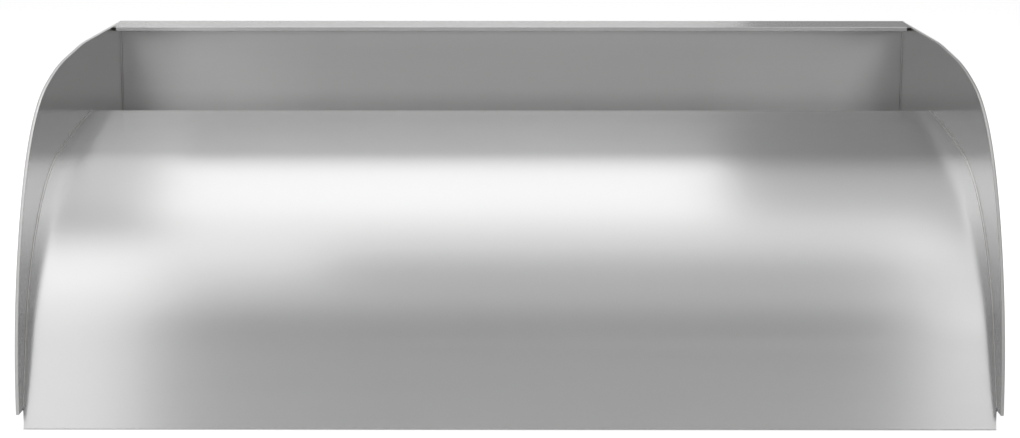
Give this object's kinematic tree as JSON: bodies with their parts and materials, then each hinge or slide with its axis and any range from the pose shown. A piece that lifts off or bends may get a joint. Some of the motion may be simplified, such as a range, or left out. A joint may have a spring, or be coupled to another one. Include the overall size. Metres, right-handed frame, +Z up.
{
  "type": "wave slide",
  "caption": "Welded stainless water chute: an open chamber feeds a wave-shaped spill sheet between two curved cheeks.",
  "frame": {"origin": "middle of the underside of the base plate, midway between the cheeks, on the plane that the chute stands on", "axes": "+X to the right as seen from the front, -Y towards the front where the water falls, +Z up"},
  "size_m": [0.6, 0.4845, 0.213],
  "materials": {
    "sheet_steel": "horizontally brushed stainless sheet, satin",
    "inner_steel": "mill finish stainless sheet, satin",
    "fitting_steel": "turned and drawn stainless, fine tool marks",
    "epdm": "matt black EPDM"
  },
  "bodies": {
    "chute": {"cheek_left": "sheet_steel", "cheek_right": "sheet_steel", "spill_sheet": "sheet_steel", "back_plate": "sheet_steel", "base_plate": "inner_steel", "lip_rib_left": "inner_steel", "lip_rib_center": "inner_steel", "lip_rib_right": "inner_steel", "front_ledge": "inner_steel", "rear_ledge": "inner_steel", "inlet_deflector": "inner_steel", "deflector_spacers": "inner_steel", "fixing_lug_left": "inner_steel", "fixing_lug_right": "inner_steel", "inlet_socket": "fitting_steel", "hose_tail": "fitting_steel", "tail_washer": "epdm"},
    "diffuser": {"diffuser_plate": "inner_steel", "diffuser_grip_left": "fitting_steel", "diffuser_grip_right": "fitting_steel"}
  },
  "joints": [
    {"name": "diffuser_lift", "type": "slide", "parent": "chute", "child": "diffuser", "axis": [0, 0, 1], "range_m": [0, 0.14]}
  ]
}
